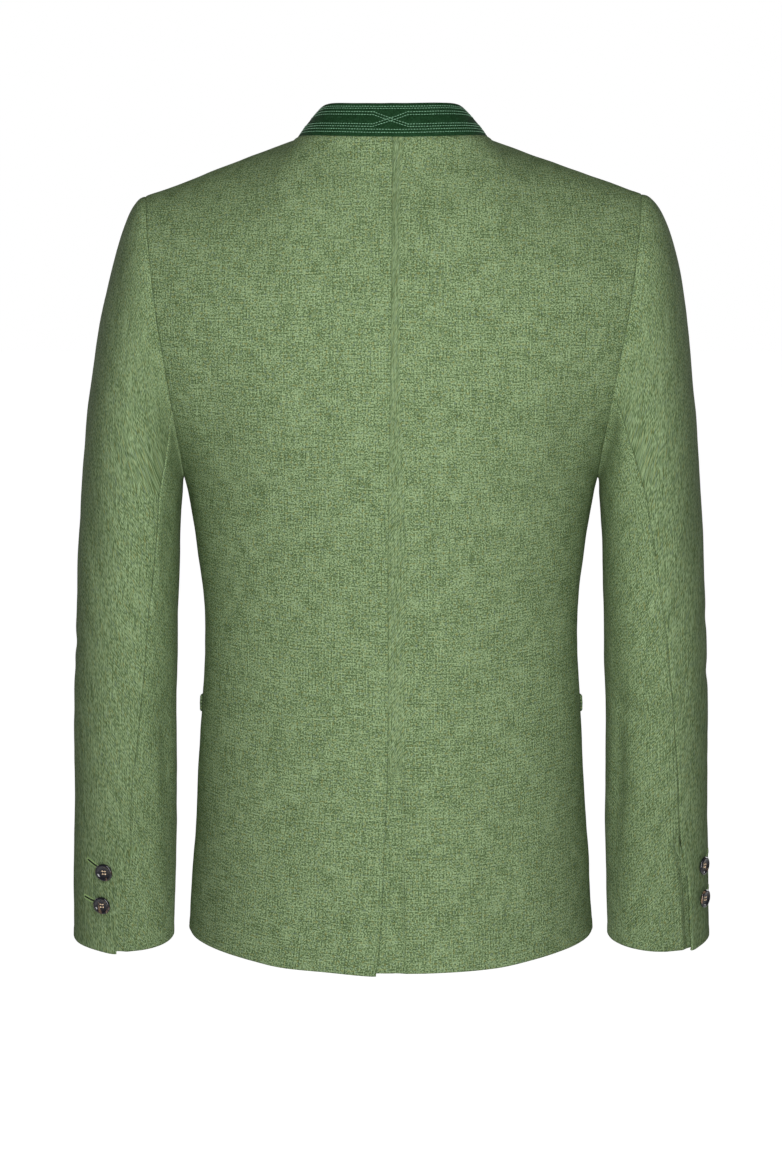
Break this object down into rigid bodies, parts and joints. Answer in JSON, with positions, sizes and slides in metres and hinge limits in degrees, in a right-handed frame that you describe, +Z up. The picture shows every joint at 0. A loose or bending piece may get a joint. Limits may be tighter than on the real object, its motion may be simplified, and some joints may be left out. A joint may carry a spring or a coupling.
{
  "type": "men's folk jacket with a stand collar",
  "caption": "Men's green wool folk jacket with a dark stand collar, in its worn hollow form: open neck, hem and cuffs, horn buttons and a back vent.",
  "frame": {"origin": "the middle of the neck where the wearer carries the jacket: level with the collar seam behind, in the plane of the shoulder seams", "axes": "+Z up, from the hem to the collar; -Y is the way that the front faces; +X is the wearer's left"},
  "size_m": [0.5656, 0.2572, 0.7378],
  "materials": {
    "jacket_cloth": "melange green wool flannel with a fine twill, slightly napped",
    "collar_cloth": "dark green loden with rows of stitching",
    "horn_button": "dark polished horn with beige streaks"
  },
  "bodies": {
    "root": {"back_left": "jacket_cloth", "back_right": "jacket_cloth", "front_left": "jacket_cloth", "front_right": "jacket_cloth", "sleeve_upper_left": "jacket_cloth", "sleeve_upper_right": "jacket_cloth", "sleeve_under_left": "jacket_cloth", "sleeve_under_right": "jacket_cloth", "pocket_welt_left": "jacket_cloth", "pocket_welt_right": "jacket_cloth", "collar": "collar_cloth", "front_button_1": "horn_button", "front_button_2": "horn_button", "front_button_3": "horn_button", "front_button_4": "horn_button", "front_button_5": "horn_button", "cuff_button_left_1": "horn_button", "cuff_button_left_2": "horn_button", "cuff_button_right_1": "horn_button", "cuff_button_right_2": "horn_button"}
  },
  "joints": []
}
